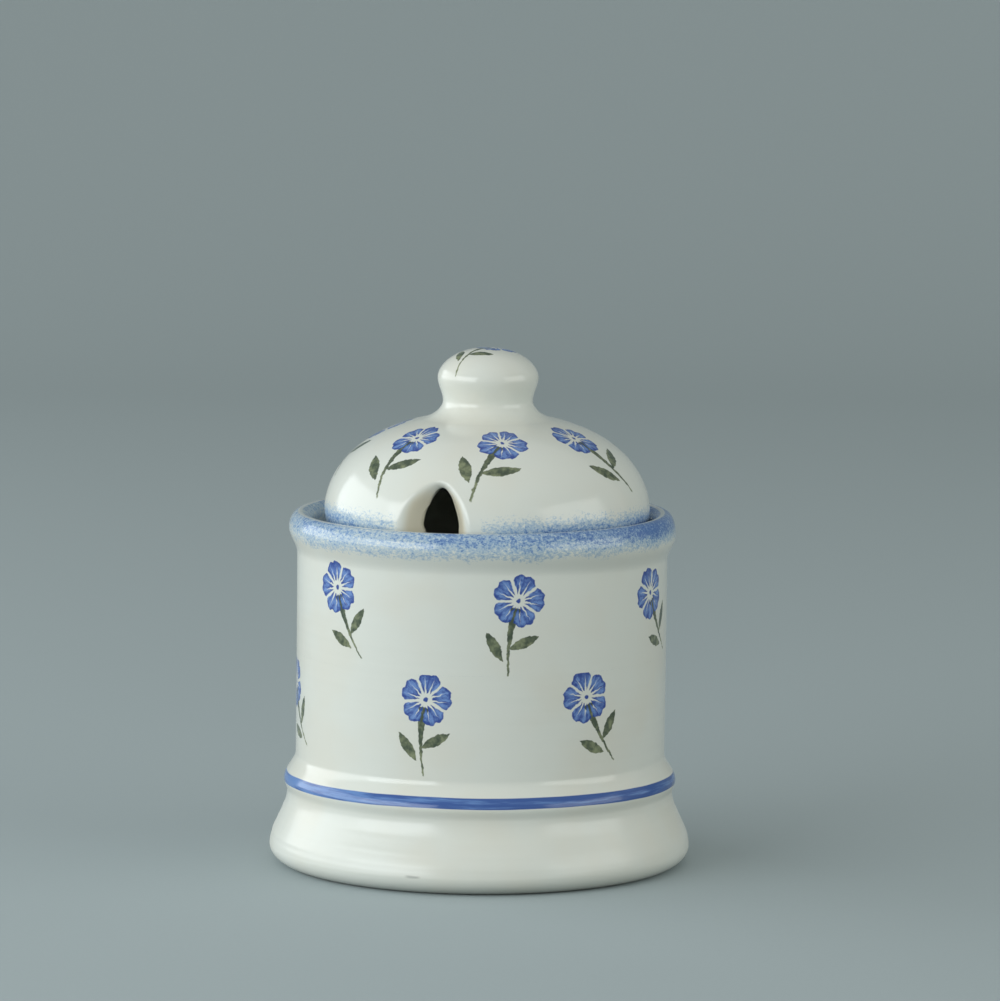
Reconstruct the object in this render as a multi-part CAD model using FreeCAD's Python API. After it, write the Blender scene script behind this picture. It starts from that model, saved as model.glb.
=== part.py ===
import FreeCAD, Part
import math
import os

# A glazed earthenware jam pot with a domed lid. Millimetres, +Z up. The origin is the
# centre of the foot on the table, and the spoon notch of the lid faces -Y.

# Pot, outside, from the table up
bodyRadius = 46.0        # straight wall of the pot
footSpread = 6.4         # how far the widest part of the foot stands out of the wall
toeHeight = 4.5          # height of the widest part of the foot
toeInset = 5.9           # how far the rounded toe draws in below it
footRingWidth = 4.6      # flat ring that the pot stands on
footRecess = 2.4         # hollow under the floor, inside that ring
ridgeHeight = 20.8       # crest of the moulded band
ridgeStandOff = 2.85     # how far the band stands out of the wall
grooveDrop = 2.8         # from the crest of the band down to the groove under it
grooveStandOff = 2.05    # the groove is still this far out of the wall
shoulderRise = 6.6       # from the crest of the band up to the plain wall
rimHeight = 87.8         # top of the rim
rimDepth = 10.2          # from the top of the rim down to where it leaves the wall
rimBulgeDrop = 4.0       # from the top of the rim down to its widest part
rimOverhang = 2.05       # how far the rim stands out of the wall
rimOuterRound = 2.75     # from the rim's widest part in to its crest
rimThickness = 5.85      # widest part of the rim to the mouth

# Pot, inside
wall = 4.5
floorThickness = 5.6
floorRound = 9.0         # rounding between floor and wall
seatDrop = 5.6           # from the top of the rim down to the ledge that the lid sits on
ledgeWidth = 7.2         # mouth to the inner edge of the ledge
ledgeEdge = 2.6          # height of the ledge's inner edge
ledgeTaper = 9.0         # height over which the ledge thins into the wall
edgeRound = 0.8          # rounding of the ledge's corners

# Lid
lidClearance = 1.8       # gap between the lid's widest part and the mouth
lidShift = 1.5           # the lid lies this far off centre, towards +X
lidEdgeHeight = 6.6      # from the ledge up to the lid's widest part
lidEdgeInset = 3.0       # how far the lid's edge draws in below that
domeRise = 22.15         # from the widest part up to where the neck flares out of the dome
domeSide = 2.65          # the dome leaves its widest part upright, with a handle this long
domeShoulder = 22.9      # and reaches the flare with a handle this long
domeSlope = 0.229        # and this slope
hollowRise = 19.35       # from the widest part up to the top of the hollow
lidWall = 4.8
flangeClearance = 2.0    # gap between the locating flange and the ledge
flangeThickness = 3.0
flangeDepth = 4.7        # how far the flange reaches below the ledge
neckRadius = 11.15
neckHeight = 4.55        # from the start of the flare up to the narrowest part of the neck
neckFlare = 5.25         # how far the neck spreads where it runs into the dome
knobSpread = 1.35        # knob's widest part over the neck
knobRise = 5.7           # from the neck up to the knob's widest part
knobCap = 7.3            # from there up to the top
crownFlat = 1.5          # radius of the small flat in the middle of the knob and the hollow

# Spoon notch in the lid's edge, scooped so that it narrows through the wall
notchHalfWidth = 9.65    # at the lid's widest part
notchArch = 17.35        # height of the arched top there
notchInnerHalfWidth = 4.4  # at the lid's inside, just wider than a spoon's handle
notchInnerArch = 13.2
notchInnerAside = 1.2    # the inside opening lies this far towards +X
notchSpring = 2.2        # height above the ledge where the sides start to arch
notchRound = 1.0         # rounding of the notch's outer edge

circleHandle = 0.5523    # handle share that makes a cubic follow a quarter of an ellipse
knobHandle = 0.51        # the knob's top is a little flatter
archHandle = 0.56        # and the notch's arch a little fuller

footRadius = bodyRadius + footSpread
ringRadius = footRadius - toeInset
ridgeRadius = bodyRadius + ridgeStandOff
grooveHeight = ridgeHeight - grooveDrop
rimRadius = bodyRadius + rimOverhang
rimJoin = rimHeight - rimDepth
mouthRadius = rimRadius - rimThickness
innerRadius = bodyRadius - wall
seatHeight = rimHeight - seatDrop
ledgeRadius = mouthRadius - ledgeWidth
floorHeight = footRecess + floorThickness
lidRadius = mouthRadius - lidClearance
lidWidest = seatHeight + lidEdgeHeight
flareStart = lidWidest + domeRise
neckTop = flareStart + neckHeight
hollowTop = lidWidest + hollowRise
knobRadius = neckRadius + knobSpread
knobWidest = neckTop + knobRise
flangeRadius = ledgeRadius - flangeClearance
flangeInner = flangeRadius - flangeThickness


def point(radius, height):
    return FreeCAD.Vector(radius, 0, height)


def line(start, end):
    return Part.makeLine(point(*start), point(*end))


def cubic(*poles):
    curve = Part.BezierCurve()
    curve.setPoles([point(*pole) for pole in poles])
    return curve.toShape()


def rounded(start, corner, end, handle=circleHandle):
    """A quarter turn from start to end, inside the given corner."""
    first = [a + (b - a) * handle for a, b in zip(start, corner)]
    last = [a + (b - a) * handle for a, b in zip(end, corner)]
    return cubic(start, first, last, end)


def eased(start, end, handle=0.33):
    """A double bend that leaves and arrives upright."""
    reach = (end[1] - start[1]) * handle
    return cubic(start, (start[0], start[1] + reach), (end[0], end[1] - reach), end)


def turned(edges):
    """The solid that a closed outline makes when it turns about the pot's axis."""
    outline = Part.Face(Part.Wire(edges))
    return outline.revolve(FreeCAD.Vector(0, 0, 0), FreeCAD.Vector(0, 0, 1), 360)


def makePot():
    ringInner = ringRadius - footRingWidth
    recessRadius = ringInner - footRecess
    ledgeFoot = seatHeight - ledgeEdge
    crestRadius = rimRadius - rimOuterRound
    mouthTop = rimHeight - (crestRadius - mouthRadius)
    outside = [
        line((ringInner, 0), (ringRadius, 0)),
        rounded((ringRadius, 0), (footRadius, 0), (footRadius, toeHeight)),
        eased((footRadius, toeHeight), (bodyRadius + grooveStandOff, grooveHeight)),
        eased((bodyRadius + grooveStandOff, grooveHeight), (ridgeRadius, ridgeHeight)),
        eased((ridgeRadius, ridgeHeight), (bodyRadius, ridgeHeight + shoulderRise)),
        line((bodyRadius, ridgeHeight + shoulderRise), (bodyRadius, rimJoin)),
        eased((bodyRadius, rimJoin), (rimRadius, rimHeight - rimBulgeDrop)),
        rounded((rimRadius, rimHeight - rimBulgeDrop), (rimRadius, rimHeight), (crestRadius, rimHeight)),
    ]
    inside = [
        rounded((crestRadius, rimHeight), (mouthRadius, rimHeight), (mouthRadius, mouthTop)),
        line((mouthRadius, mouthTop), (mouthRadius, seatHeight + edgeRound)),
        rounded((mouthRadius, seatHeight + edgeRound), (mouthRadius, seatHeight),
                (mouthRadius - edgeRound, seatHeight)),
        line((mouthRadius - edgeRound, seatHeight), (ledgeRadius + edgeRound, seatHeight)),
        rounded((ledgeRadius + edgeRound, seatHeight), (ledgeRadius, seatHeight),
                (ledgeRadius, seatHeight - edgeRound)),
        line((ledgeRadius, seatHeight - edgeRound), (ledgeRadius, ledgeFoot)),
        eased((ledgeRadius, ledgeFoot), (innerRadius, ledgeFoot - ledgeTaper)),
        line((innerRadius, ledgeFoot - ledgeTaper), (innerRadius, floorHeight + floorRound)),
        rounded((innerRadius, floorHeight + floorRound), (innerRadius, floorHeight),
                (innerRadius - floorRound, floorHeight)),
        line((innerRadius - floorRound, floorHeight), (0, floorHeight)),
    ]
    underside = [
        line((0, floorHeight), (0, footRecess)),
        line((0, footRecess), (recessRadius, footRecess)),
        rounded((recessRadius, footRecess), (ringInner, footRecess), (ringInner, 0)),
    ]
    return turned(outside + inside + underside)


def notchOutline(depth, halfWidth, arch, aside):
    """The notch's outline in the upright plane this far inside the lid's widest part."""
    bottom = seatHeight - flangeDepth - lidWall
    spring = seatHeight + notchSpring
    top = spring + arch
    left = aside - halfWidth
    right = aside + halfWidth
    outline = Part.Wire([
        line((right, spring), (right, bottom)),
        line((right, bottom), (left, bottom)),
        line((left, bottom), (left, spring)),
        rounded((left, spring), (left, top), (aside, top), archHandle),
        rounded((aside, top), (right, top), (right, spring), archHandle),
    ])
    outline.translate(FreeCAD.Vector(0, depth - lidRadius, 0))
    return outline


def makeNotch():
    """The tool that cuts the notch: a funnel through the lid's wall, then a passage inwards."""
    outer = notchOutline(-lidWall, 2 * notchHalfWidth - notchInnerHalfWidth,
                         2 * notchArch - notchInnerArch, -notchInnerAside)
    inner = notchOutline(lidWall, notchInnerHalfWidth, notchInnerArch, notchInnerAside)
    funnel = Part.makeLoft([outer, inner], True, True)
    passageDepth = lidRadius - flangeInner
    passage = Part.Face(inner).extrude(FreeCAD.Vector(0, passageDepth, 0))
    return funnel.fuse(passage)


def outerNotchEdges(lid, dome):
    """The edges where the notch breaks through the dome, which a turned curve of it finds."""
    skin = dome.revolve(FreeCAD.Vector(0, 0, 0), FreeCAD.Vector(0, 0, 1), 360)
    found = []
    for edge in lid.Edges:
        box = edge.BoundBox
        middle = edge.valueAt((edge.FirstParameter + edge.LastParameter) / 2)
        inNotch = box.XMax < notchHalfWidth + 0.01 and box.XMin > -notchHalfWidth - 0.01
        onDome = Part.Vertex(middle).distToShape(skin)[0] < 0.01
        if inNotch and middle.y < 0 and onDome:
            found.append(edge)
    return found


def makeLid():
    seatRadius = lidRadius - lidEdgeInset
    flangeFoot = seatHeight - flangeDepth
    flareRadius = neckRadius + neckFlare
    flareCorner = (neckRadius, flareStart + domeSlope * neckFlare)
    slopeAngle = math.atan(domeSlope)
    shoulder = (flareRadius + domeShoulder * math.cos(slopeAngle),
                flareStart - domeShoulder * math.sin(slopeAngle))
    hollowRadius = lidRadius - lidWall
    knobTop = knobWidest + knobCap
    dome = cubic((lidRadius, lidWidest), (lidRadius, lidWidest + domeSide),
                 shoulder, (flareRadius, flareStart))
    outside = [
        line((flangeRadius, seatHeight), (seatRadius, seatHeight)),
        rounded((seatRadius, seatHeight), (lidRadius, seatHeight), (lidRadius, lidWidest)),
        dome,
        rounded((flareRadius, flareStart), flareCorner, (neckRadius, neckTop)),
        eased((neckRadius, neckTop), (knobRadius, knobWidest)),
        rounded((knobRadius, knobWidest), (knobRadius, knobTop), (crownFlat, knobTop), knobHandle),
        line((crownFlat, knobTop), (0, knobTop)),
    ]
    inside = [
        line((0, knobTop), (0, hollowTop)),
        line((0, hollowTop), (crownFlat, hollowTop)),
        rounded((crownFlat, hollowTop), (hollowRadius, hollowTop), (hollowRadius, lidWidest)),
        eased((hollowRadius, lidWidest), (flangeInner, seatHeight)),
        line((flangeInner, seatHeight), (flangeInner, flangeFoot)),
        line((flangeInner, flangeFoot), (flangeRadius, flangeFoot)),
        line((flangeRadius, flangeFoot), (flangeRadius, seatHeight)),
    ]
    lid = turned(outside + inside).cut(makeNotch())
    lid = lid.makeFillet(notchRound, outerNotchEdges(lid, dome))
    lid.translate(FreeCAD.Vector(lidShift, 0, 0))
    return lid


os.makedirs("parts", exist_ok=True)
for name, shape in (("pot", makePot()), ("lid", makeLid())):
    shape.exportStep("parts/" + name + ".step")
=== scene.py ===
import math

import bpy
import numpy as np
from mathutils import Matrix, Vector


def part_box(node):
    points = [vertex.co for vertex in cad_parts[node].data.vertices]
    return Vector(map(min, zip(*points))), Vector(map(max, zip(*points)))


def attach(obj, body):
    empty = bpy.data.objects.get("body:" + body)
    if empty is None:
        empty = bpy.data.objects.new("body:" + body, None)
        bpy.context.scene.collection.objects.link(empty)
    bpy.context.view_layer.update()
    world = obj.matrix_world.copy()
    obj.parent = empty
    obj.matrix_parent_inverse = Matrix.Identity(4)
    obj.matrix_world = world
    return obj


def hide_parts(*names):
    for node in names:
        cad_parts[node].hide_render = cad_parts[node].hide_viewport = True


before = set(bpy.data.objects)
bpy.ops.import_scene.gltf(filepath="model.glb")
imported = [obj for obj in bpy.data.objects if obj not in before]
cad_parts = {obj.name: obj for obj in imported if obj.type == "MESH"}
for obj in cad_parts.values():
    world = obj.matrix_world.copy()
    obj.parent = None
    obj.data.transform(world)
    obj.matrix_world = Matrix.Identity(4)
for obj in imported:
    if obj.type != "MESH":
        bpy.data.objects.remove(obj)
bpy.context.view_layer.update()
print("frame loaded")

mm = 0.001
quarter = 0.5523         # handle share that makes a cubic follow a quarter of an ellipse

potLow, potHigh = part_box("pot")
lidLow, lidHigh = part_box("lid")
footRadius = potHigh.x
rimHeight = potHigh.z
lidRadius = (lidHigh.x - lidLow.x) / 2
lidCentre = (lidHigh.x + lidLow.x) / 2
knobTop = lidHigh.z
flangeFoot = lidLow.z
cameraSide = math.radians(19.7)  # the camera stands this far round from the notch


# A cubic through four poles: each pole weighs by powers of the share gone and the share left.
def cubicRun(first, second, third, last, count):
    gone = np.linspace(0, 1, count)[:, None]
    left = 1 - gone
    poles = [np.array(pole, float) for pole in (first, second, third, last)]
    return (left**3 * poles[0] + 3 * left**2 * gone * poles[1]
            + 3 * left * gone**2 * poles[2] + gone**3 * poles[3])


# A quarter turn from start to end, inside the corner.
def roundedRun(start, corner, end, count, handle=quarter):
    start, corner, end = (np.array(spot, float) for spot in (start, corner, end))
    return cubicRun(start, start + (corner - start) * handle, end + (corner - end) * handle, end, count)


# A double bend that leaves and arrives upright.
def easedRun(start, end, count, handle=0.33):
    reach = (end[1] - start[1]) * handle
    return cubicRun(start, (start[0], start[1] + reach), (end[0], end[1] - reach), end, count)


# Evenly spaced points between two ends.
def straightRun(start, end, count):
    share = np.linspace(0, 1, count)[:, None]
    return np.array(start, float) * (1 - share) + np.array(end, float) * share


# Runs end to end, without the points that they share.
def joined(runs):
    return np.concatenate([runs[0]] + [run[1:] for run in runs[1:]])


# Running length of a line of points.
def lengthAlong(points):
    steps = np.hypot(*np.diff(points, axis=0).T)
    return np.concatenate([[0], np.cumsum(steps)])


# 0 under low and 1 over high, with the square-and-cube ease between.
def eased(value, low, high):
    share = np.clip((value - low) / (high - low), 0, 1)
    return share * share * (3 - 2 * share)


# A closed skin from a grid of points, row by ring: rings close on themselves and the first and
# last rows are single points. Faces are turned round if the volume they enclose is negative.
def gridPiece(name, rows, material):
    rowCount, ringCount = rows.shape[:2]
    inner = rows[1:-1].reshape(-1, 3)
    points = np.concatenate([inner, rows[:1, 0], rows[-1:, 0]])
    row = np.arange(rowCount - 3)[:, None] * ringCount
    here = np.arange(ringCount)
    there = np.roll(here, -1)
    quads = np.stack([row + here, row + there, row + there + ringCount, row + here + ringCount], -1)
    quads = quads.reshape(-1, 4)
    lastRow = (rowCount - 3) * ringCount
    topFan = np.stack([np.full(ringCount, len(inner)), there, here], -1)
    endFan = np.stack([np.full(ringCount, len(inner) + 1), lastRow + here, lastRow + there], -1)
    fans = np.concatenate([topFan, endFan])
    first, second, third, fourth = (points[quads[:, corner]] for corner in range(4))
    volume = np.sum(first * np.cross(second, third)) + np.sum(first * np.cross(third, fourth))
    if volume < 0:
        quads = quads[:, ::-1]
        fans = fans[:, ::-1]
    mesh = bpy.data.meshes.new(name)
    mesh.from_pydata(points.tolist(), [], quads.tolist() + fans.tolist())
    mesh.polygons.foreach_set("use_smooth", np.ones(len(mesh.polygons), bool))
    mesh.update()
    piece = bpy.data.objects.new(name, mesh)
    bpy.context.scene.collection.objects.link(piece)
    piece.data.materials.append(material)
    return piece


# A number in a node tree: each operator on it adds a Math node.
class Signal:
    def __init__(self, paint, socket):
        self.paint = paint
        self.socket = socket

    def __add__(self, other):
        return self.paint.math("ADD", self, other)

    def __radd__(self, other):
        return self.paint.math("ADD", other, self)

    def __sub__(self, other):
        return self.paint.math("SUBTRACT", self, other)

    def __rsub__(self, other):
        return self.paint.math("SUBTRACT", other, self)

    def __mul__(self, other):
        return self.paint.math("MULTIPLY", self, other)

    def __rmul__(self, other):
        return self.paint.math("MULTIPLY", other, self)

    def __truediv__(self, other):
        return self.paint.math("DIVIDE", self, other)

    def __rtruediv__(self, other):
        return self.paint.math("DIVIDE", other, self)

    def __mod__(self, other):
        return self.paint.math("FLOORED_MODULO", self, other)

    def __neg__(self):
        return self.paint.math("MULTIPLY", self, -1)

    def __abs__(self):
        return self.paint.math("ABSOLUTE", self)


# A node tree being filled, for a material or for the world.
class Paint:
    def __init__(self, owner):
        owner.use_nodes = True
        self.owner = owner
        self.tree = owner.node_tree
        self.tree.nodes.clear()
        self.places = self.node("ShaderNodeTexCoord").outputs
        self.place = self.places["Object"]

    # any node: its settings first, then the value or the link of each socket
    def node(self, kind, settings=None, values=None):
        made = self.tree.nodes.new(kind)
        for key, setting in (settings or {}).items():
            setattr(made, key, setting)
        for key, value in (values or {}).items():
            socket = made.inputs[key]
            if isinstance(value, Signal):
                value = value.socket
            if isinstance(value, bpy.types.NodeSocket):
                self.tree.links.new(value, socket)
            else:
                socket.default_value = value
        return made

    # one Math node on numbers or signals
    def math(self, operation, *values):
        made = self.node("ShaderNodeMath", {"operation": operation}, dict(enumerate(values)))
        return Signal(self, made.outputs[0])

    # a vector's three parts
    def split(self, vector):
        made = self.node("ShaderNodeSeparateXYZ", None, {0: vector})
        return [Signal(self, socket) for socket in made.outputs]

    def vector(self, x, y, z):
        return self.node("ShaderNodeCombineXYZ", None, {0: x, 1: y, 2: z}).outputs[0]

    # 0 before low and 1 past high, with an eased change between; low may be the larger
    def step(self, value, low, high):
        made = self.node("ShaderNodeMapRange", {"interpolation_type": "SMOOTHSTEP"},
                         {0: value, 1: low, 2: high, 3: 0.0, 4: 1.0})
        return Signal(self, made.outputs[0])

    # noise whose blots are about as wide as size
    def noise(self, place, size, detail=2.0, roughness=0.5):
        made = self.node("ShaderNodeTexNoise", {"noise_dimensions": "3D"},
                         {"Vector": place, "Scale": 1 / size, "Detail": detail, "Roughness": roughness})
        return Signal(self, made.outputs[0])

    # three noises at once, each about -0.5 to 0.5
    def shivers(self, place, size):
        made = self.node("ShaderNodeTexNoise", {"noise_dimensions": "3D"},
                         {"Vector": place, "Scale": 1 / size, "Detail": 1.5})
        return [part - 0.5 for part in self.split(made.outputs[1])]

    # share of one colour over another
    def blend(self, share, under, over):
        made = self.node("ShaderNodeMix", {"data_type": "RGBA"}, {0: share, 6: under, 7: over})
        return made.outputs[2]

    # the same for numbers
    def choose(self, share, under, over):
        return under + (over - under) * share


# A colour as a screen shows it, 0 to 255, turned into light.
def linear(red, green, blue):
    shares = [value / 255 for value in (red, green, blue)]
    return tuple(s / 12.92 if s < 0.04045 else ((s + 0.055) / 1.055)**2.4 for s in shares) + (1.0,)


sprigStyle = {           # lengths in millimetres
    "petals": 5,
    "petalReach": 6.8,
    "petalGap": 0.36,    # white left between two petals, each side
    "petalDroop": 0.24,  # a petal's edge is this share nearer at its sides
    "petalNick": 0.08,   # and this share nearer in its very middle
    "rayAside": 0.37,    # two white rays on each petal, this share of the way to its side
    "rayWidth": 0.36,
    "rayReach": 0.7,     # and this share as long as the petal
    "eyeReach": 1.45,
    "eyeDot": 0.42,
    "stemStart": 1.7,
    "stemLength": 17.0,
    "stemBend": 3.4,
    "stemThick": 1.4,    # half its width under the flower
    "stemTip": 0.28,
    "leafLength": 4.2,
    "leafWidth": 1.35,
    "rightLeaf": ((4.4, -9.4), math.radians(40)),    # its middle, and which way it points
    "leftLeaf": ((-2.2, -12.4), math.radians(136)),
    "wobble": 0.75,      # how far the brush strays
}

colours = {
    "glaze": linear(226, 229, 220),
    "glazeWarm": linear(224, 221, 206),
    "clay": linear(205, 196, 176),
    "petalLight": linear(112, 148, 208),
    "petalDeep": linear(30, 66, 150),
    "spongePale": linear(172, 194, 210),
    "spongeMid": linear(122, 156, 198),
    "spongeDeep": linear(72, 110, 172),
    "bandLight": linear(96, 136, 196),
    "bandDeep": linear(42, 84, 156),
    "green": linear(54, 70, 50),
    "greenLight": linear(134, 142, 106),
    # the notch's cut face: painted warm shade
    "cut": linear(212, 203, 178),
    "speck": linear(96, 88, 80),
    "scuff": linear(140, 140, 136),
}

glazeStyle = {
    "roughness": 0.155,
    "uneven": 0.06,          # the roughness strays by this much
    "bare": 0.75,            # roughness of the clay where no glaze lies
    "ripple": 0.12 * mm,     # how deep the glaze ripples
    "rippleSize": 5 * mm,
    "pitSize": 0.9 * mm,
    "patchSize": 22 * mm,    # size of the warmer patches
    "speckCells": 110.0,     # cells in a metre, with a speck in the middle of a few
    "speckSize": (0.030, 0.016),
    "speckChance": (0.86, 0.88),
}

spongeStyle = {
    "dab": 0.95 * mm,
    "pore": 0.45 * mm,
    "cloud": 12 * mm,
    "flat": 1.35,            # dabs are this much wider than they are tall
    "veil": (0.56, 0.82),    # levels between which each blue comes in
    "ink": (0.77, 0.93),
    "deep": (0.86, 1.05),
}


# A leaf is a lens on its long axis: its half width shrinks with the square of the way along.
def leafShare(x, y, middle, lean):
    along = (x - middle[0]) * math.cos(lean) + (y - middle[1]) * math.sin(lean)
    across = (y - middle[1]) * math.cos(lean) - (x - middle[0]) * math.sin(lean)
    share = along / sprigStyle["leafLength"]
    return (1 - share * share) * sprigStyle["leafWidth"] - abs(across)


# A flower at the origin with its stem towards -y. Petals are equal sectors: a petal's edge is
# furthest out in its middle, and the white gap beside it is as wide at any reach. The stem's
# middle line bends with the square of the way down it.
def paintSprig(paint, colour, x, y, allowed):
    style = sprigStyle
    shiverX, shiverY, shade = paint.shivers(paint.place, 1.1 * mm)
    x = x + shiverX * style["wobble"]
    y = y + shiverY * style["wobble"]
    reach = paint.math("SQRT", x * x + y * y)
    sector = math.pi / style["petals"]
    turn = paint.math("ARCTAN2", y, x) / (2 * sector) + 0.25
    side = abs(turn - paint.math("FLOOR", turn) - 0.5) * 2
    nick = style["petalNick"] * paint.step(side, 0.3, 0.0)
    outline = (1 - style["petalDroop"] * side * side - nick) * style["petalReach"]
    toBorder = (1 - side) * reach * sector
    toRay = abs(side - style["rayAside"]) * reach * sector
    rayWidth = (1 - reach / (style["petalReach"] * style["rayReach"])) * style["rayWidth"]
    petal = paint.step(outline - reach, -0.04, 0.2)
    petal = petal * paint.step(toBorder, style["petalGap"] - 0.14, style["petalGap"] + 0.1)
    petal = petal * paint.step(reach, style["eyeReach"], style["eyeReach"] + 0.3)
    petal = petal * paint.step(toRay - rayWidth, -0.08, 0.12)
    dot = paint.step(reach, style["eyeDot"] + 0.26, style["eyeDot"])
    blue = paint.math("MAXIMUM", petal, dot)
    strokes = paint.noise(paint.vector(turn * 3.4, reach * 0.15, shade), 0.5, 3.0, 0.6)
    pooled = paint.step(outline - reach, 1.1, 0.1) * 0.22 + paint.step(reach, 3.6, 1.6) * 0.3
    depth = paint.step(strokes * 1.15 + pooled, 0.38, 0.86)

    way = (-y - style["stemStart"]) / style["stemLength"]
    within = paint.math("MAXIMUM", way, 0.0)
    middle = within * within * style["stemBend"]
    taper = 1 - within
    thick = taper * taper * (style["stemThick"] - style["stemTip"]) + style["stemTip"]
    stem = paint.step(thick - abs(x - middle), -0.05, 0.16)
    stem = stem * paint.step(way, 0.0, 0.02) * paint.step(way, 1.0, 0.97)
    rightLeaf = leafShare(x, y, *style["rightLeaf"])
    leftLeaf = leafShare(x, y, *style["leftLeaf"])
    leaves = paint.step(paint.math("MAXIMUM", rightLeaf, leftLeaf), -0.03, 0.16)
    green = paint.math("MAXIMUM", stem, leaves)
    blot = paint.noise(paint.place, 2.0 * mm, 2.0, 0.6)
    tint = paint.step(blot + within * 0.28, 0.48, 0.92)
    greenColour = paint.blend(tint, colours["green"], colours["greenLight"])
    colour = paint.blend(green * allowed * 0.96, colour, greenColour)
    blueColour = paint.blend(depth, colours["petalLight"], colours["petalDeep"])
    return paint.blend(blue * allowed * 0.97, colour, blueColour)


# One sprig in each of count cells round the axis, moved and tilted by its cell's own chance.
# rise is the height over the middle of the row; gives the sprig's own x and y.
def scattered(paint, angle, rise, row):
    turn = (angle * (row["count"] / (2 * math.pi)) + row["phase"]) % row["count"]
    cell = paint.math("FLOOR", turn)
    chance = paint.node("ShaderNodeTexWhiteNoise", {"noise_dimensions": "1D"}, {"W": cell + row["seed"]})
    across, up, tilt = [part - 0.5 for part in paint.split(chance.outputs[1])]
    x = (turn - cell - 0.5) * row["pitch"] - across * row["across"]
    y = rise - up * row["up"]
    swing = tilt * row["tilt"] + (cell % 2 - 0.5) * row["sway"]
    cosine = paint.math("COSINE", swing)
    sine = paint.math("SINE", swing)
    size = row["size"]
    return (x * cosine + y * sine) / size, (y * cosine - x * sine) / size - row["head"]


# Dabs of a sponge: a fine noise over a level that falls as the density rises. A thin veil comes
# first, and the further over the level, the deeper the blue.
def sponged(paint, colour, density):
    x, y, z = paint.split(paint.place)
    place = paint.vector(x, y, z * spongeStyle["flat"])
    dabs = paint.noise(place, spongeStyle["dab"], 2.0, 0.6)
    pores = paint.noise(place, spongeStyle["pore"], 1.0, 0.5)
    cloud = paint.noise(paint.place, spongeStyle["cloud"], 1.0, 0.5)
    pattern = dabs * 0.6 + pores * 0.4 + (cloud - 0.5) * 0.3 + density * 0.42
    veil = paint.step(pattern, *spongeStyle["veil"])
    ink = paint.step(pattern, *spongeStyle["ink"])
    deep = paint.step(pattern, *spongeStyle["deep"])
    present = paint.step(density, 0.0, 0.1)
    colour = paint.blend(veil * present * 0.95, colour, colours["spongePale"])
    colour = paint.blend(ink * present * 0.8, colour, colours["spongeMid"])
    return paint.blend(deep * present * 0.85, colour, colours["spongeDeep"])


# The glaze, a little warmer in broad patches, with a few iron specks: small discs in the middle
# of the cells whose chance is high.
def glazeBase(paint):
    style = glazeStyle
    patches = paint.noise(paint.place, style["patchSize"], 2.0, 0.5)
    base = paint.blend(paint.step(patches, 0.40, 0.72) * 0.5, colours["glaze"], colours["glazeWarm"])
    cells = paint.node("ShaderNodeTexVoronoi", {"feature": "F1"},
                       {"Vector": paint.place, "Scale": style["speckCells"]})
    chance = paint.split(cells.outputs["Color"])[0]
    speck = paint.step(cells.outputs["Distance"], *style["speckSize"])
    speck = speck * paint.step(chance, *style["speckChance"])
    return paint.blend(speck * 0.7, base, colours["speck"])


# Colour under a clear glaze that ripples a little; where it is dull the clay is bare, and
# matter is added to the roughness where the glaze shines less.
def finishGlaze(paint, colour, dull=0.0, matter=0.0):
    style = glazeStyle
    ripples = paint.noise(paint.place, style["rippleSize"], 1.0, 0.4)
    pits = paint.noise(paint.place, style["pitSize"], 1.0, 0.4)
    bump = paint.node("ShaderNodeBump", None, {"Strength": 0.35, "Distance": style["ripple"],
                                               "Height": ripples + pits * 0.12})
    wander = paint.noise(paint.place, 12 * mm, 2.0, 0.5) - 0.5
    glazed = wander * style["uneven"] + style["roughness"] + matter
    shader = paint.node("ShaderNodeBsdfPrincipled", None, {
        "Base Color": colour,
        "Roughness": paint.choose(dull, glazed, style["bare"]),
        "IOR": 1.5,
        "Normal": bump.outputs[0],
    })
    paint.node("ShaderNodeOutputMaterial", None, {"Surface": shader.outputs[0]})
    return paint.owner


pot = {
    "footSpread": 6.4 * mm, "toeHeight": 4.5 * mm, "toeInset": 5.9 * mm,
    "footRingWidth": 4.6 * mm, "footRecess": 2.4 * mm,
    "ridgeHeight": 20.8 * mm, "ridgeStandOff": 2.85 * mm,
    "grooveDrop": 2.8 * mm, "grooveStandOff": 2.05 * mm, "shoulderRise": 6.6 * mm,
    "rimDepth": 10.2 * mm, "rimBulgeDrop": 4.0 * mm, "rimOverhang": 2.05 * mm,
    "rimOuterRound": 2.75 * mm, "rimThickness": 5.85 * mm,
    "wall": 4.5 * mm, "floorThickness": 5.6 * mm, "floorRound": 9.0 * mm,
    "seatDrop": 5.6 * mm, "ledgeWidth": 7.2 * mm, "ledgeEdge": 2.6 * mm, "ledgeTaper": 9.0 * mm,
    "edgeRound": 0.8 * mm,
    "columns": 200,          # points round the pot
    "throwing": 0.018 * mm,  # depth of the rings that the potter's fingers leave
    "lean": 0.28 * mm,       # the wall leans this far to its right by the rim
    "hang": 1.4 * mm,        # and there the lip hangs this much lower
    "leanSide": cameraSide + math.radians(90),
}

bodyRadius = footRadius - pot["footSpread"]
innerRadius = bodyRadius - pot["wall"]
rimRadius = bodyRadius + pot["rimOverhang"]
mouthRadius = rimRadius - pot["rimThickness"]
ridgeRadius = bodyRadius + pot["ridgeStandOff"]
seatHeight = rimHeight - pot["seatDrop"]
rimJoin = rimHeight - pot["rimDepth"]


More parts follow.
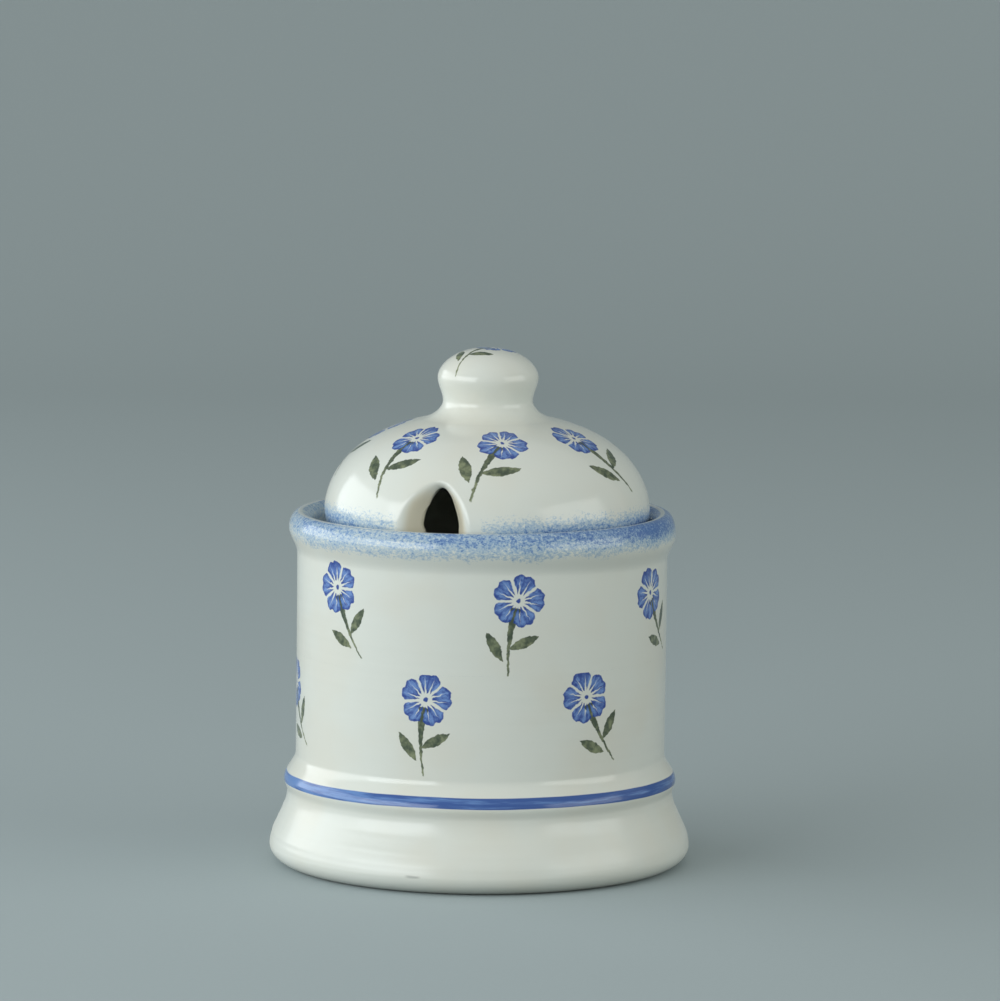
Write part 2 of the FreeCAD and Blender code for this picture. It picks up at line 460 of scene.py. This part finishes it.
# Radius and height of the pot's skin: under the foot, up the outside, over the rim and down
# the inside to the middle of the floor.
def potOutline():
    ringRadius = footRadius - pot["toeInset"]
    ringInner = ringRadius - pot["footRingWidth"]
    grooveRadius = bodyRadius + pot["grooveStandOff"]
    groove = pot["ridgeHeight"] - pot["grooveDrop"]
    shoulder = pot["ridgeHeight"] + pot["shoulderRise"]
    bulge = rimHeight - pot["rimBulgeDrop"]
    crest = rimRadius - pot["rimOuterRound"]
    mouthTop = rimHeight - (crest - mouthRadius)
    ledgeRadius = mouthRadius - pot["ledgeWidth"]
    ledgeFoot = seatHeight - pot["ledgeEdge"]
    floorHeight = pot["footRecess"] + pot["floorThickness"]
    bend = pot["edgeRound"]
    outside = [
        straightRun((ringInner, 0), (ringRadius, 0), 8),
        roundedRun((ringRadius, 0), (footRadius, 0), (footRadius, pot["toeHeight"]), 26),
        easedRun((footRadius, pot["toeHeight"]), (grooveRadius, groove), 44),
        easedRun((grooveRadius, groove), (ridgeRadius, pot["ridgeHeight"]), 14),
        easedRun((ridgeRadius, pot["ridgeHeight"]), (bodyRadius, shoulder), 26),
        straightRun((bodyRadius, shoulder), (bodyRadius, rimJoin), 130),
        easedRun((bodyRadius, rimJoin), (rimRadius, bulge), 24),
        roundedRun((rimRadius, bulge), (rimRadius, rimHeight), (crest, rimHeight), 18),
    ]
    inside = [
        roundedRun((crest, rimHeight), (mouthRadius, rimHeight), (mouthRadius, mouthTop), 14),
        straightRun((mouthRadius, mouthTop), (mouthRadius, seatHeight + bend), 6),
        roundedRun((mouthRadius, seatHeight + bend), (mouthRadius, seatHeight),
                   (mouthRadius - bend, seatHeight), 5),
        straightRun((mouthRadius - bend, seatHeight), (ledgeRadius + bend, seatHeight), 6),
        roundedRun((ledgeRadius + bend, seatHeight), (ledgeRadius, seatHeight),
                   (ledgeRadius, seatHeight - bend), 5),
        straightRun((ledgeRadius, seatHeight - bend), (ledgeRadius, ledgeFoot), 4),
        easedRun((ledgeRadius, ledgeFoot), (innerRadius, ledgeFoot - pot["ledgeTaper"]), 14),
        straightRun((innerRadius, ledgeFoot - pot["ledgeTaper"]),
                    (innerRadius, floorHeight + pot["floorRound"]), 16),
        roundedRun((innerRadius, floorHeight + pot["floorRound"]), (innerRadius, floorHeight),
                   (innerRadius - pot["floorRound"], floorHeight), 14),
        straightRun((innerRadius - pot["floorRound"], floorHeight), (0, floorHeight), 12),
    ]
    recess = ringInner - pot["footRecess"]
    underside = [
        straightRun((0, pot["footRecess"]), (recess, pot["footRecess"]), 10),
        roundedRun((recess, pot["footRecess"]), (ringInner, pot["footRecess"]), (ringInner, 0), 6),
    ]
    return joined(underside + outside + inside)


# Shallow rings that drift up and down round the pot and fade in and out, always inwards: three
# sine waves of the height in millimetres, deeper on the foot.
def throwingMarks(height, angle, outside):
    drift = 0.5 * mm * np.sin(angle) + 0.3 * mm * np.sin(2 * angle + 1.0)
    level = (height + drift) / mm
    rings = np.sin(level * 2.3) * 0.7 + np.sin(level * 1.21 + 2.0) * 0.7 + np.sin(level * 4.1 + 0.7) * 0.25
    fade = 0.6 + 0.4 * np.sin(angle + level * 0.11 + 2.4)
    deeper = 1 + 4.0 * (1 - eased(height, 15 * mm, 19 * mm))
    return -pot["throwing"] * (rings * 0.5 + 0.85) * fade * deeper * outside


# The outline turned about the axis on a grid of outline by angle. Further up, the wall moves
# aside by the lean, and on that side the lip drops by the hang.
def makePot():
    outline = potOutline()
    angle = np.linspace(0, 2 * math.pi, pot["columns"], endpoint=False)[None, :]
    radius = outline[:, :1] + 0 * angle
    height = outline[:, 1:] + 0 * angle
    upWall = (outline[:, 1] > pot["toeHeight"]) & (outline[:, 1] < rimJoin)
    wallOnly = (outline[:, 0] > bodyRadius - mm) & upWall
    outside = np.convolve(wallOnly.astype(float), np.ones(9) / 9, "same") * wallOnly
    radius = radius + throwingMarks(height, angle, outside[:, None])
    facing = np.clip(np.cos(angle - pot["leanSide"]), 0, 1)**1.5
    facing = facing * eased(radius, rimRadius - 3 * mm, bodyRadius)
    drop = eased(height, 60 * mm, 80 * mm) * (1 - eased(height, 83 * mm, rimHeight))
    aside = pot["lean"] * eased(height, pot["toeHeight"], rimJoin)
    x = radius * np.sin(angle) + aside * math.sin(pot["leanSide"])
    y = -radius * np.cos(angle) - aside * math.cos(pot["leanSide"])
    rows = np.stack([x, y, height - pot["hang"] * drop * facing], -1)
    return gridPiece("potBody", rows, potMaterial())


upperRow = {"count": 6, "phase": 0.005, "seed": 10.3, "pitch": 48.0, "across": 5.0, "up": 3.0,
            "tilt": 0.40, "sway": 0.70, "size": 1.0, "head": 6.6, "middle": 65.6}
lowerRow = {"count": 6, "phase": 0.505, "seed": 3.0, "pitch": 48.0, "across": 5.0, "up": 2.0,
            "tilt": 0.40, "sway": 0.75, "size": 1.0, "head": 6.6, "middle": 40.4}

rowsMeet = 53.2          # height between the two rows

stripe = {               # millimetres
    "height": 21.5,      # middle of the painted stripe
    "slope": 0.85,       # the hand that held the brush rose and fell by this much
    "halfWidth": 1.32,
    "beyond": (45.5, 45.6),  # it is painted where the band stands out this far
    "stripeShadeSide": cameraSide + 0.7,  # the blue is painted deepest round here, on the shaded right, and lightest on the lit left: painted shade and light
}

rimSponge = {            # heights and radii in millimetres
    "firstDabs": (80.6, 82.4),
    "thick": (81.6, 86.6),
    "ragged": 2.2,           # its lower edge strays over this height
    "mouth": (43.6, 41.6),   # it thins out towards the mouth
    "shadeSponge": (81.4, 85.6),   # over this height the sponge is painted denser towards the shaded right and thinner on the lit left: painted shade and light
    "shadeSpongeSide": cameraSide + 1.35,
    "crestRadius": 45.0,     # where a pale line without sponge runs
    "crestWidth": (0.75, 0.35),
    "crestFrom": (87.2, 87.5),
}

scuff = {"side": math.radians(2.0), "height": 4.7, "radius": 51.5,
         "length": (2.4, 0.8), "width": (0.45, 0.1)}
footGlaze = {"from": (20.0, 13.0), "matter": 0.10}  # the foot shines less than the wall


# Pattern coordinates are millimetres: the angle round from the notch, the height, and the
# distance from the axis, which tells the outside from the inside.
def potMaterial():
    paint = Paint(bpy.data.materials.new("potGlaze"))
    x, y, z = [part * 1000 for part in paint.split(paint.place)]
    angle = paint.math("ARCTAN2", x, -y)
    radius = paint.math("SQRT", x * x + y * y)
    colour = glazeBase(paint)

    # two rows of sprigs, each row half a step round from the other
    upper = paint.step(z, rowsMeet - 0.01, rowsMeet + 0.01)
    row = {key: paint.choose(upper, lowerRow[key], upperRow[key]) if lowerRow[key] != upperRow[key]
           else lowerRow[key] for key in lowerRow}
    sprigX, sprigY = scattered(paint, angle, z - row["middle"], row)
    allowed = paint.step(radius, 45.0, 45.2) * paint.step(z, 27.4, 27.8)
    colour = paintSprig(paint, colour, sprigX, sprigY, allowed)

    # brushed stripe on the moulded band
    wander = paint.noise(paint.place, 14 * mm, 1.0, 0.5)
    lift = paint.math("COSINE", angle - cameraSide) * stripe["slope"]
    fromStripe = abs(z - lift - stripe["height"] - (wander - 0.5) * 0.5)
    strokes = paint.noise(paint.vector(angle * 2.0, z * 0.6, radius * 0.02), 0.5, 3.0, 0.6)
    cover = paint.step(fromStripe, stripe["halfWidth"] + 0.08, stripe["halfWidth"] - 0.12)
    cover = cover * paint.step(radius, *stripe["beyond"])
    # painted shade and light: the stripe is painted deeper blue towards the shaded right side and lighter
    # towards the lit left
    stripeShade = paint.math("COSINE", angle - stripe["stripeShadeSide"]) * 0.2 - 0.12
    deep = paint.step(strokes + fromStripe * 0.10 + stripeShade, 0.36, 0.66)
    colour = paint.blend(cover * 0.97, colour, paint.blend(deep, colours["bandLight"], colours["bandDeep"]))

    # sponged rim: speckles at its lower edge, thick on top, with a pale line along the crest
    ragged = paint.noise(paint.place, 7 * mm, 2.0, 0.5)
    low = z + (ragged - 0.5) * rimSponge["ragged"]
    density = paint.step(low, *rimSponge["firstDabs"]) * 0.45 + paint.step(low, *rimSponge["thick"]) * 0.5
    density = density * (1 - paint.step(radius, *rimSponge["mouth"]) * 0.35)
    # painted shade and light: less sponge on the lit left side, more on the shaded right side
    shadeSponge = paint.math("SINE", angle - cameraSide) * 0.12 - 0.05
    shadeSponge = shadeSponge + paint.step(paint.math("COSINE", angle - rimSponge["shadeSpongeSide"]), 0.75, 1.0) * 0.18
    density = density + shadeSponge * paint.step(low, *rimSponge["shadeSponge"])
    colour = sponged(paint, colour, density)
    crest = paint.step(abs(radius - rimSponge["crestRadius"]), *rimSponge["crestWidth"])
    crest = crest * paint.step(z, *rimSponge["crestFrom"])
    colour = paint.blend(crest * 0.7, colour, colours["glaze"])

    # bare clay where the foot ring was wiped, and a scuff on the toe
    bare = paint.step(z, 0.45, 0.2) * paint.step(radius, 40.0, 41.0)
    colour = paint.blend(bare, colour, colours["clay"])
    across = abs(angle - scuff["side"]) * scuff["radius"]
    up = abs(z - scuff["height"] - (ragged - 0.5) * 1.2)
    scuffed = paint.step(across, *scuff["length"]) * paint.step(up, *scuff["width"])
    colour = paint.blend(scuffed * 0.5, colour, colours["scuff"])
    return finishGlaze(paint, colour, bare, paint.step(z, *footGlaze["from"]) * footGlaze["matter"])


lid = {
    "edgeHeight": 6.6 * mm, "edgeInset": 3.0 * mm, "wall": 4.8 * mm,
    "domeRise": 22.15 * mm, "domeSide": 2.65 * mm, "domeShoulder": 22.9 * mm, "domeSlope": 0.229,
    "hollowRise": 19.35 * mm,
    "flangeClearance": 2.0 * mm, "flangeThickness": 3.0 * mm,
    "neckRadius": 11.15 * mm, "neckHeight": 4.55 * mm, "neckFlare": 5.25 * mm,
    "knobSpread": 1.35 * mm, "knobRise": 5.7 * mm, "knobHandle": 0.51, "crownFlat": 1.5 * mm,
    "upperSkirt": 104 * mm,     # above this the rows are plain rings
    "upperHollow": 101 * mm,
    "restColumns": 150,         # grid lines round the lid beside the notch
    "flangeRamp": 5 * mm,       # the flange runs out over this length at the notch
}

notch = {
    "halfWidth": 9.65 * mm, "arch": 17.35 * mm,          # at the lid's widest part
    "innerHalfWidth": 4.4 * mm, "innerArch": 13.2 * mm,  # a wall's thickness further in
    "innerAside": 1.2 * mm,     # the inside opening lies this far to one side
    "spring": 2.2 * mm,         # the sides start to arch this far up
    "archHandle": 0.56,         # near the quarter's own handle: a round arch
    "outerRound": 1.7 * mm, "innerRound": 1.0 * mm,
    "sideColumns": 9,           # grid lines up each side
    "archColumns": 45,          # and over each half of the arch
    "fan": math.radians(33),    # above it the notch's lines spread this far each side
}

lidWidest = seatHeight + lid["edgeHeight"]
flareStart = lidWidest + lid["domeRise"]
flareRadius = lid["neckRadius"] + lid["neckFlare"]
hollowTop = lidWidest + lid["hollowRise"]
seatRadius = lidRadius - lid["edgeInset"]
hollowRadius = lidRadius - lid["wall"]
flangeRadius = mouthRadius - pot["ledgeWidth"] - lid["flangeClearance"]
flangeInner = flangeRadius - lid["flangeThickness"]


# Radius and height of the lid's outside, from its seat over the dome, neck and knob to the axis.
def lidOutside():
    slope = math.atan(lid["domeSlope"])
    shoulder = (flareRadius + lid["domeShoulder"] * math.cos(slope),
                flareStart - lid["domeShoulder"] * math.sin(slope))
    corner = (lid["neckRadius"], flareStart + lid["domeSlope"] * lid["neckFlare"])
    neckTop = flareStart + lid["neckHeight"]
    knobRadius = lid["neckRadius"] + lid["knobSpread"]
    knobWidest = neckTop + lid["knobRise"]
    flat = lid["crownFlat"]
    return joined([
        roundedRun((seatRadius, seatHeight), (lidRadius, seatHeight), (lidRadius, lidWidest), 120),
        cubicRun((lidRadius, lidWidest), (lidRadius, lidWidest + lid["domeSide"]), shoulder,
                 (flareRadius, flareStart), 400),
        roundedRun((flareRadius, flareStart), corner, (lid["neckRadius"], neckTop), 80),
        easedRun((lid["neckRadius"], neckTop), (knobRadius, knobWidest), 80),
        roundedRun((knobRadius, knobWidest), (knobRadius, knobTop), (flat, knobTop), 200, lid["knobHandle"]),
        straightRun((flat, knobTop), (0, knobTop), 20),
    ])


# The lid's inside, from the flange's inner edge at seat height up the hollow to the axis.
def lidInside():
    flat = lid["crownFlat"]
    return joined([
        easedRun((flangeInner, seatHeight), (hollowRadius, lidWidest), 80),
        roundedRun((hollowRadius, lidWidest), (hollowRadius, hollowTop), (flat, hollowTop), 300),
        straightRun((flat, hollowTop), (0, hollowTop), 20),
    ])


# The notch's outline at a depth inside the lid's widest part, up one side, over an arch of two
# cubics and down the other: its half width, arch and place all change evenly through the wall.
def notchLine(depth, wider=0.0):
    sides, arches = notch["sideColumns"], notch["archColumns"]
    half = roundedRun((1, 0), (1, 1), (0, 1), arches, notch["archHandle"])
    across = np.concatenate([-np.ones(sides), -half[:, 0], half[-2::-1, 0], np.ones(sides)])
    rise = np.concatenate([np.zeros(sides), half[:, 1], half[-2::-1, 1], np.zeros(sides)])
    side = np.linspace(0, notch["spring"], sides, endpoint=False)
    base = seatHeight + np.concatenate([side, np.full(2 * arches - 1, notch["spring"]), side[::-1]])
    share = np.minimum(depth / lid["wall"], 1)
    halfWidth = notch["halfWidth"] + (notch["innerHalfWidth"] - notch["halfWidth"]) * share + wider
    arch = notch["arch"] + (notch["innerArch"] - notch["arch"]) * share + wider
    return notch["innerAside"] * share + across * halfWidth, base + rise * arch


# Where that outline meets a surface of the lid: the depth follows from the surface's radius at
# the outline's own height, and is found by going round.
def notchOnSurface(outline, wider):
    rising = np.argmax(outline[:, 1])
    depth = np.zeros(2 * (notch["sideColumns"] + notch["archColumns"]) - 1)
    for again in range(30):
        x, z = notchLine(depth, wider)
        radius = np.interp(z, outline[:rising, 1], outline[:rising, 0])
        depth = (depth + lidRadius - np.sqrt(radius**2 - x**2)) / 2
    return x, z, depth


# The lid's grid: crown rings, then rows that leave them to end on the notch's outer edge, rows
# round that edge and through the cut (and over the flange elsewhere), then back up the hollow.
def makeLid():
    outside = lidOutside()
    outWay = lengthAlong(outside)
    inside = lidInside()
    inWay = lengthAlong(inside)
    restCount = lid["restColumns"]
    restShare = np.linspace(0, 1, restCount + 2)[1:-1]
    fan = np.linspace(-notch["fan"], notch["fan"], 2 * (notch["sideColumns"] + notch["archColumns"]) - 1)
    topAngle = np.concatenate([fan, notch["fan"] + (2 * math.pi - 2 * notch["fan"]) * restShare])

    # how far along an outline a height is reached
    def wayAt(outline, ways, height):
        rising = np.argmax(outline[:, 1])
        return np.interp(height, outline[:rising, 1], ways[:rising])

    # the outline's point at a way along it, turned round the axis by an angle
    def onOutline(outline, ways, way, angle):
        radius = np.interp(way, ways, outline[:, 0])
        height = np.interp(way, ways, outline[:, 1])
        return np.stack([radius * np.sin(angle), -radius * np.cos(angle), height + 0 * angle], -1)

    # angles of the points beside the notch, evenly round from its right to its left
    def restAngles(own):
        return own[-1] + (2 * math.pi + own[0] - own[-1]) * restShare

    # rows from the notched edge up to a plain ring: they turn early, to stay clear of the edge
    def skirt(outline, ways, x, z, upper, count):
        start = wayAt(outline, ways, z)
        own = np.arcsin(x / np.interp(start, ways, outline[:, 0]))
        angle = np.concatenate([own, restAngles(own)])
        start = np.concatenate([start, np.zeros(restCount)])
        share = np.linspace(0, 1, count)[:, None]
        way = start + (wayAt(outline, ways, upper) - start) * share
        turned = angle + (topAngle - angle) * share**0.6
        return onOutline(outline, ways, way, turned)

    # a row through the cut, closed by points that follow the flange beside the notch
    def closedRow(cut, flange):
        own = np.arctan2(cut[:, 0], -cut[:, 1])
        corner = np.hypot(cut[:, 0], cut[:, 1])[[-1, 0]]
        angle = restAngles(own)
        reach = np.minimum(restShare, 1 - restShare) * (2 * math.pi * seatRadius)
        ramp = eased(reach, 0, lid["flangeRamp"])
        level = corner[0] + (corner[1] - corner[0]) * restShare
        level = level + (flange[0] - level) * ramp
        height = seatHeight + (flange[1] - seatHeight) * ramp
        return np.concatenate([cut, np.stack([level * np.sin(angle), -level * np.cos(angle), height], -1)])

    # the notch's outline at a depth, in space
    def atDepth(depth, wider=0.0):
        x, z = notchLine(depth, wider)
        return np.stack([x, depth - lidRadius, z], -1)

    # an edge rounded from start to end, inside the sharp one
    def roundedEdge(start, sharp, end, count):
        gone = np.linspace(0, 1, count)[:, None, None]
        left = 1 - gone
        return left**2 * start + 2 * left * gone * sharp + gone**2 * end

    outerRound, innerRound = notch["outerRound"], notch["innerRound"]
    outX, outZ, outDepth = notchOnSurface(outside, outerRound)
    inX, inZ, inDepth = notchOnSurface(inside, innerRound)
    outSharp = notchOnSurface(outside, 0)[2]
    inSharp = notchOnSurface(inside, 0)[2]
    outerEdge = roundedEdge(np.stack([outX, outDepth - lidRadius, outZ], -1), atDepth(outSharp),
                            atDepth(outSharp + outerRound), 10)
    innerEdge = roundedEdge(atDepth(inSharp - innerRound), atDepth(inSharp),
                            np.stack([inX, inDepth - lidRadius, inZ], -1), 7)
    flangeRun = joined([
        straightRun((seatRadius - outerRound, seatHeight), (flangeRadius, seatHeight), 6),
        straightRun((flangeRadius, seatHeight), (flangeRadius, flangeFoot), 7),
        straightRun((flangeRadius, flangeFoot), (flangeInner, flangeFoot), 6),
        straightRun((flangeInner, flangeFoot), (flangeInner, seatHeight - innerRound), 7),
    ])
    cut = []
    for share, row in zip(np.linspace(0, 1, len(outerEdge))[1:], outerEdge[1:]):
        cut.append(closedRow(row, (seatRadius - outerRound * share, seatHeight)))
    for share, spot in zip(np.linspace(0, 1, len(flangeRun))[1:-1], flangeRun[1:-1]):
        depth = (outSharp + outerRound) * (1 - share) + (inSharp - innerRound) * share
        cut.append(closedRow(atDepth(depth), spot))
    for share, row in zip(np.linspace(0, 1, len(innerEdge))[:-1], innerEdge[:-1]):
        cut.append(closedRow(row, (flangeInner, seatHeight - innerRound * (1 - share))))

    outerSkirt = skirt(outside, outWay, outX, outZ, lid["upperSkirt"], 76)
    innerSkirt = skirt(inside, inWay, inX, inZ, lid["upperHollow"], 36)
    crownWay = np.linspace(wayAt(outside, outWay, lid["upperSkirt"]), outWay[-1], 132)[1:, None]
    hollowWay = np.linspace(wayAt(inside, inWay, lid["upperHollow"]), inWay[-1], 34)[1:, None]
    crown = onOutline(outside, outWay, crownWay, topAngle[None, :] + 0 * crownWay)
    hollow = onOutline(inside, inWay, hollowWay, topAngle[None, :] + 0 * hollowWay)
    rows = np.concatenate([crown[::-1], outerSkirt[::-1], np.array(cut), innerSkirt, hollow])
    rows[..., 0] += lidCentre
    return gridPiece("lidDome", rows, lidMaterial())


domeRing = {"count": 7, "phase": 0.0, "seed": 11.0, "pitch": 24.7, "across": 2.0, "up": 1.5,
            "tilt": 0.5, "sway": 0.6, "size": 1.0, "head": 2.4}
ringMiddle = (27.5, 107.0, math.radians(-29))  # radius, height and slope of the dome there
knobSprig = {"size": 0.8, "turn": math.radians(33), "head": 3.2}

lidPaint = {                 # millimetres
    "skinRise": 25.0,        # an ellipse this high, a little inside the wall, parts in from out
    "ringBelow": (111.4, 111.0),
    "knobAbove": 117.0,      # between the ring's sprigs and the knob's
    "knobSprigAbove": (122.0, 122.6),
    "cutHalfWidth": 10.4, "cutArch": 18.0, "cutNarrows": 1.05,  # the notch's cut face
    "cutBehind": (-28.0, -31.0), "cutFrom": (0.9, 2.4),
    "sponge": (92.6, 87.0),  # the sponging fades in between these heights
    "ragged": 2.4,           # the sponging's edge strays over this height
}


# Pattern coordinates are millimetres from the lid's own axis: the angle round from the notch, the
# height, and the distance from the axis. A ring's sprigs are laid out along the dome's slope.
def lidMaterial():
    paint = Paint(bpy.data.materials.new("lidGlaze"))
    x, y, z = [part * 1000 for part in paint.split(paint.place)]
    x = x - lidCentre / mm
    angle = paint.math("ARCTAN2", x, -y)
    radius = paint.math("SQRT", x * x + y * y)
    colour = glazeBase(paint)

    # the outside is what lies beyond an ellipse inside the wall
    flat = radius / (lidRadius / mm)
    tall = paint.math("MAXIMUM", (z - lidWidest / mm) / lidPaint["skinRise"], 0.0)
    outside = paint.step(flat * flat + tall * tall, 0.90, 0.92)

    # a ring of sprigs on the dome, and one over the knob
    middleRadius, middleHeight, slope = ringMiddle
    rise = (middleRadius - radius) * math.cos(slope) - (z - middleHeight) * math.sin(slope)
    ringX, ringY = scattered(paint, angle, rise, domeRing)
    cosine, sine = math.cos(knobSprig["turn"]), math.sin(knobSprig["turn"])
    onKnob = paint.step(z, lidPaint["knobAbove"], lidPaint["knobAbove"] + 0.01)
    sprigX = paint.choose(onKnob, ringX, (x * cosine - y * sine) / knobSprig["size"])
    sprigY = paint.choose(onKnob, ringY, (x * sine + y * cosine) / knobSprig["size"] - knobSprig["head"])
    belowNeck = paint.step(z, *lidPaint["ringBelow"])
    onTop = onKnob * paint.step(z, *lidPaint["knobSprigAbove"])
    colour = paintSprig(paint, colour, sprigX, sprigY, outside * paint.math("MAXIMUM", belowNeck, onTop))

    # the notch's cut face painted warmer and darker: painted shade
    depth = y + lidRadius / mm
    narrower = depth * lidPaint["cutNarrows"]
    middle = depth * (notch["innerAside"] / lid["wall"])
    cutAcross = abs(x - middle) / (lidPaint["cutHalfWidth"] - narrower)
    cutRise = (z - (seatHeight + notch["spring"]) / mm) / (lidPaint["cutArch"] - narrower)
    cutRise = paint.math("MAXIMUM", cutRise, 0.0)
    cutFaceShade = paint.step(cutAcross * cutAcross + cutRise * cutRise, 1.06, 0.86)
    cutFaceShade = cutFaceShade * paint.step(y, *lidPaint["cutBehind"]) * paint.step(depth, *lidPaint["cutFrom"])
    colour = paint.blend(cutFaceShade * 0.85, colour, colours["cut"])

    # sponged lower edge, stopping short of the notch
    ragged = paint.noise(paint.place, 5 * mm, 2.0, 0.5)
    climb = paint.step(z + (ragged - 0.5) * lidPaint["ragged"], *lidPaint["sponge"])
    fromNotch = abs(x - notch["innerAside"] / mm)
    besideNotch = paint.step(fromNotch, 10.0, 16.0) * 0.5 + paint.step(fromNotch, 9.8, 12.0) * 0.5
    besideNotch = besideNotch + paint.step(y, -1.0, 0.0)
    density = climb * 0.85 * paint.math("MINIMUM", besideNotch, 1.0) * outside
    colour = sponged(paint, colour, density)
    return finishGlaze(paint, colour)


view = {
    "azimuth": cameraSide, "distance": 1.5, "height": 0.2754, "aside": 4.59 * mm,
    "pitch": math.radians(7.03), "roll": math.radians(0.42), "focal": 219.06, "sensor": 36.0,
}

toRight = np.array([math.cos(view["azimuth"]), math.sin(view["azimuth"]), 0])
inwards = np.array([-math.sin(view["azimuth"]), math.cos(view["azimuth"]), 0])

paper = {
    "dark": linear(118, 130, 132), "light": linear(122, 134, 136),  # as it throws light back
    "seenDark": linear(178, 190, 192), "seenLight": linear(182, 194, 196),
}


stage = {"front": -4.5, "bendFrom": 1.1, "wall": 2.5, "bendTop": 1.4, "top": 3.4, "side": 4.5}  # metres


# A floor that bends up into a wall behind the pot: one profile carried straight across.
def makeStage():
    wall = stage["wall"]
    profile = joined([
        straightRun((stage["front"], 0), (stage["bendFrom"], 0), 30),
        roundedRun((stage["bendFrom"], 0), (wall, 0), (wall, stage["bendTop"]), 40),
        straightRun((wall, stage["bendTop"]), (wall, stage["top"]), 10),
    ])
    across = np.linspace(-stage["side"], stage["side"], 3)
    points = (profile[:, None, :1] * inwards + across[None, :, None] * toRight
              + profile[:, None, 1:] * np.array([0, 0, 1.0]))
    here = (np.arange(len(profile) - 1)[:, None] * 3 + np.arange(2)).ravel()
    quads = np.stack([here, here + 1, here + 4, here + 3], -1)
    mesh = bpy.data.meshes.new("sweep")
    mesh.from_pydata(points.reshape(-1, 3).tolist(), [], quads.tolist())
    mesh.polygons.foreach_set("use_smooth", np.ones(len(mesh.polygons), bool))
    sweep = bpy.data.objects.new("sweep", mesh)
    bpy.context.scene.collection.objects.link(sweep)
    paint = Paint(bpy.data.materials.new("sweepPaper"))
    grain = paint.noise(paint.place, 1.2 * mm, 2.0, 0.6)
    rays = paint.node("ShaderNodeLightPath").outputs
    seen = paint.math("MAXIMUM", rays["Is Camera Ray"], rays["Is Glossy Ray"])
    thrown = paint.blend(grain, paper["dark"], paper["light"])
    shown = paint.blend(grain, paper["seenDark"], paper["seenLight"])
    shader = paint.node("ShaderNodeBsdfPrincipled", None, {
        "Base Color": paint.blend(seen, thrown, shown),
        "Roughness": 0.9,
        "Specular IOR Level": 0.1,
    })
    paint.node("ShaderNodeOutputMaterial", None, {"Surface": shader.outputs[0]})
    mesh.materials.append(paint.owner)


# side is degrees round from the camera to the right, rise is degrees up, sizes are in metres
lamps = {
    "windowLeft": {"side": -50, "rise": 13, "away": 1.3, "size": (1.1, 0.64), "power": 8.6,
                   "colour": (0.95, 1.0, 1.03)},
    "windowFar": {"side": -103, "rise": 13, "away": 1.3, "size": (1.5, 0.64), "power": 6.8,
                  "colour": (0.95, 1.0, 1.03)},
    "softRight": {"side": 66, "rise": 14, "away": 1.8, "size": (1.7, 0.9), "power": 9.0,
                  "colour": (0.96, 1.0, 0.97)},
}

room = {"floorLevel": 0.47, "ceilingLevel": 0.45, "colour": (0.97, 1.0, 0.98, 1)}


# A soft box that faces the pot and is never in the picture itself.
def makeLamp(name, values):
    turn = view["azimuth"] + math.radians(values["side"])
    rise = math.radians(values["rise"])
    aim = np.array([math.sin(turn) * math.cos(rise), -math.cos(turn) * math.cos(rise), math.sin(rise)])
    lamp = bpy.data.lights.new(name, "AREA")
    lamp.shape = "RECTANGLE"
    lamp.size, lamp.size_y = values["size"]
    lamp.energy = values["power"]
    lamp.color = values["colour"]
    holder = bpy.data.objects.new(name, lamp)
    holder.location = (aim * values["away"] + np.array([0, 0, 0.06])).tolist()
    holder.rotation_euler = (math.pi / 2 - rise, 0, turn)
    holder.visible_camera = False
    bpy.context.scene.collection.objects.link(holder)


# The room's light, even all round and changing only from the floor's level to overhead.
def makeRoom():
    world = bpy.data.worlds.new("room")
    bpy.context.scene.world = world
    paint = Paint(world)
    up = paint.split(paint.places["Generated"])[2]
    level = paint.node("ShaderNodeMapRange", None,
                       {0: up, 1: 0.0, 2: 1.0, 3: room["floorLevel"], 4: room["ceilingLevel"]})
    light = paint.node("ShaderNodeBackground", None, {"Color": room["colour"], "Strength": level.outputs[0]})
    paint.node("ShaderNodeOutputWorld", None, {"Surface": light.outputs[0]})


# Stands back from the pot by the distance, looks ahead and down by the pitch, and is turned a
# little about its own line of sight.
def makeCamera():
    lens = bpy.data.cameras.new("viewer")
    lens.sensor_fit = "HORIZONTAL"
    lens.sensor_width = view["sensor"]
    lens.lens = view["focal"]
    lens.clip_end = 20
    camera = bpy.data.objects.new("viewer", lens)
    place = -inwards * view["distance"] + toRight * view["aside"] + np.array([0, 0, view["height"]])
    ahead = inwards * math.cos(view["pitch"]) - np.array([0, 0, math.sin(view["pitch"])])
    up = np.cross(toRight, ahead)
    right = toRight * math.cos(view["roll"]) + up * math.sin(view["roll"])
    up = np.cross(right, ahead)
    camera.matrix_world = Matrix.LocRotScale(place, Matrix(np.stack([right, up, -ahead], -1)), None)
    bpy.context.scene.collection.objects.link(camera)
    bpy.context.scene.camera = camera
    bpy.context.scene.view_settings.view_transform = "Standard"


potPiece = makePot()
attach(potPiece, "root")
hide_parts("pot")
print("pot made")

lidPiece = makeLid()
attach(lidPiece, "root")
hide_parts("lid")
print("lid made")

makeStage()
makeRoom()
for lampName, lampValues in lamps.items():
    makeLamp(lampName, lampValues)
makeCamera()
print("stage, light and camera made")
